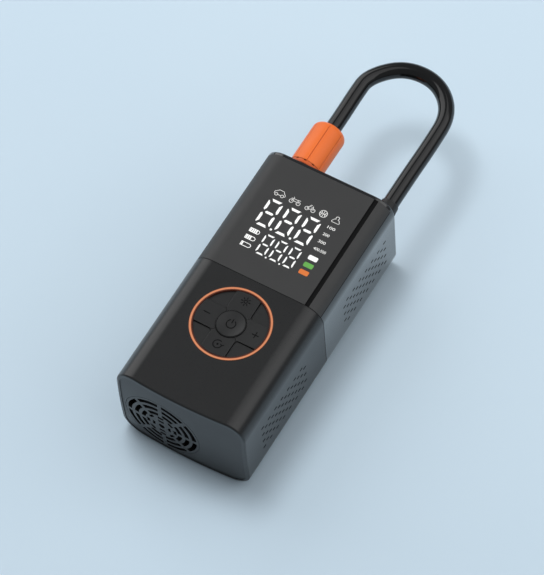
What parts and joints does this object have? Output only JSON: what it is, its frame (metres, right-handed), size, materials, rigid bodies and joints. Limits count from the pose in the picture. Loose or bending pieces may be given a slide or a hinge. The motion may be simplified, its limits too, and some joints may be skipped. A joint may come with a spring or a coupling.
{
  "type": "portable tire inflator",
  "caption": "Hand-size battery air pump: flat rounded box with display panel, round keypad, vented sides, fan grille and a hose that loops out as a handle with its valve chuck docked.",
  "frame": {"origin": "centre of the flat back face of the case, which lies down", "axes": "+Y along the case from the fan end to the hose end, +Z from the back to the display side, +X across the case towards the hose's fixed end"},
  "size_m": [0.074, 0.2361, 0.0571],
  "materials": {
    "sleeve_plastic": "fine moulded texture, near black",
    "panel_plastic": "smooth moulded, dark grey",
    "strip_plastic": "polished, black",
    "orange_plastic": "smooth, orange",
    "key_plastic": "satin moulded, dark grey",
    "silicone": "soft, pale",
    "hose_rubber": "glossy extruded, black",
    "inner_plastic": "moulded, black",
    "board_laminate": "lacquered glass laminate, green",
    "component_body": "moulded, black",
    "steel": "turned and plated",
    "ferrite": "sintered, dark grey",
    "cast_aluminium": "die cast",
    "cell_wrap": "shrink wrapped, blue green",
    "brass_turned": "turned",
    "lens_acrylic": "clear, moulded"
  },
  "bodies": {
    "case": {"lower_sleeve": "sleeve_plastic", "upper_shell": "sleeve_plastic", "front_panel": "panel_plastic", "trim_strip": "strip_plastic", "hose_end_cap": "sleeve_plastic", "fan_end_cap": "sleeve_plastic", "fan_grille": "sleeve_plastic", "keypad_ring": "orange_plastic", "keypad_base": "key_plastic", "key_membrane": "silicone", "key_switches": "steel", "key_board": "board_laminate", "segment_display": "component_body", "display_board": "board_laminate", "motor_can": "steel", "motor_end_bell": "inner_plastic", "motor_magnets": "ferrite", "motor_screws": "steel", "gear_axle": "steel", "gearbox_bracket": "cast_aluminium", "cylinder": "cast_aluminium", "head_gasket": "hose_rubber", "reed_valve": "steel", "cylinder_head": "cast_aluminium", "head_screws": "steel", "delivery_tube": "silicone", "battery_tray": "inner_plastic", "battery_cell_1": "cell_wrap", "battery_cell_2": "cell_wrap", "battery_cell_3": "cell_wrap", "cell_tabs": "steel", "main_board": "board_laminate", "board_parts": "component_body", "pressure_sensor": "component_body", "usb_socket": "steel", "lamp_lens": "lens_acrylic", "lamp_board": "board_laminate", "hose_fitting": "brass_turned", "hose_collar": "inner_plastic", "air_hose": "hose_rubber", "dock_post": "inner_plastic"},
    "power_key_body": {"power_key": "key_plastic"},
    "light_key_body": {"light_key": "key_plastic"},
    "minus_key_body": {"minus_key": "key_plastic"},
    "plus_key_body": {"plus_key": "key_plastic"},
    "mode_key_body": {"mode_key": "key_plastic"},
    "rotor": {"motor_shaft": "steel", "motor_armature": "steel", "pinion": "brass_turned", "cooling_fan": "inner_plastic"},
    "crank": {"crank_gear": "steel", "crank_pin": "steel"},
    "piston_body": {"piston": "cast_aluminium", "piston_seal": "hose_rubber", "wrist_pin": "steel"},
    "rod": {"connecting_rod": "cast_aluminium"},
    "chuck": {"chuck_core": "brass_turned", "chuck_seal": "silicone"},
    "grip": {"chuck_sleeve": "orange_plastic", "chuck_lock_ring": "orange_plastic"}
  },
  "joints": [
    {"name": "power_press", "type": "slide", "parent": "case", "child": "power_key_body", "axis": [0, 0, -1], "range_m": [0, 0.0005], "stiffness_N_per_m": 150, "springref_m": -0.0002},
    {"name": "light_press", "type": "slide", "parent": "case", "child": "light_key_body", "axis": [0, 0, -1], "range_m": [0, 0.0005], "stiffness_N_per_m": 150, "springref_m": -0.0002},
    {"name": "minus_press", "type": "slide", "parent": "case", "child": "minus_key_body", "axis": [0, 0, -1], "range_m": [0, 0.0005], "stiffness_N_per_m": 150, "springref_m": -0.0002},
    {"name": "plus_press", "type": "slide", "parent": "case", "child": "plus_key_body", "axis": [0, 0, -1], "range_m": [0, 0.0005], "stiffness_N_per_m": 150, "springref_m": -0.0002},
    {"name": "mode_press", "type": "slide", "parent": "case", "child": "mode_key_body", "axis": [0, 0, -1], "range_m": [0, 0.0005], "stiffness_N_per_m": 150, "springref_m": -0.0002},
    {"name": "motor_spin", "type": "hinge", "parent": "case", "child": "rotor", "pos_m": [-0.0114, -0.04, 0.0246], "axis": [0, 1, 0], "continuous": true},
    {"name": "crank_spin", "type": "hinge", "parent": "case", "child": "crank", "pos_m": [0.00332, -0.016, 0.0165], "axis": [0, 1, 0], "continuous": true},
    {"name": "piston_stroke", "type": "slide", "parent": "case", "child": "piston_body", "axis": [0, 0, 1], "range_m": [0, 0.009]},
    {"name": "rod_swing", "type": "hinge", "parent": "piston_body", "child": "rod", "pos_m": [0.00332, -0.0063, 0.029], "axis": [0, 1, 0], "range_deg": [-15, 15]},
    {"name": "chuck_pull", "type": "slide", "parent": "case", "child": "chuck", "axis": [0, 1, 0], "range_m": [0, 0.012], "deforming": ["air_hose"]},
    {"name": "chuck_spin", "type": "hinge", "parent": "chuck", "child": "grip", "pos_m": [-0.0166, 0.09, 0.047], "axis": [0, 1, 0], "continuous": true}
  ],
  "couplings": [
    {"joint": "crank_spin", "follows": "motor_spin", "ratio": -0.27273}
  ]
}
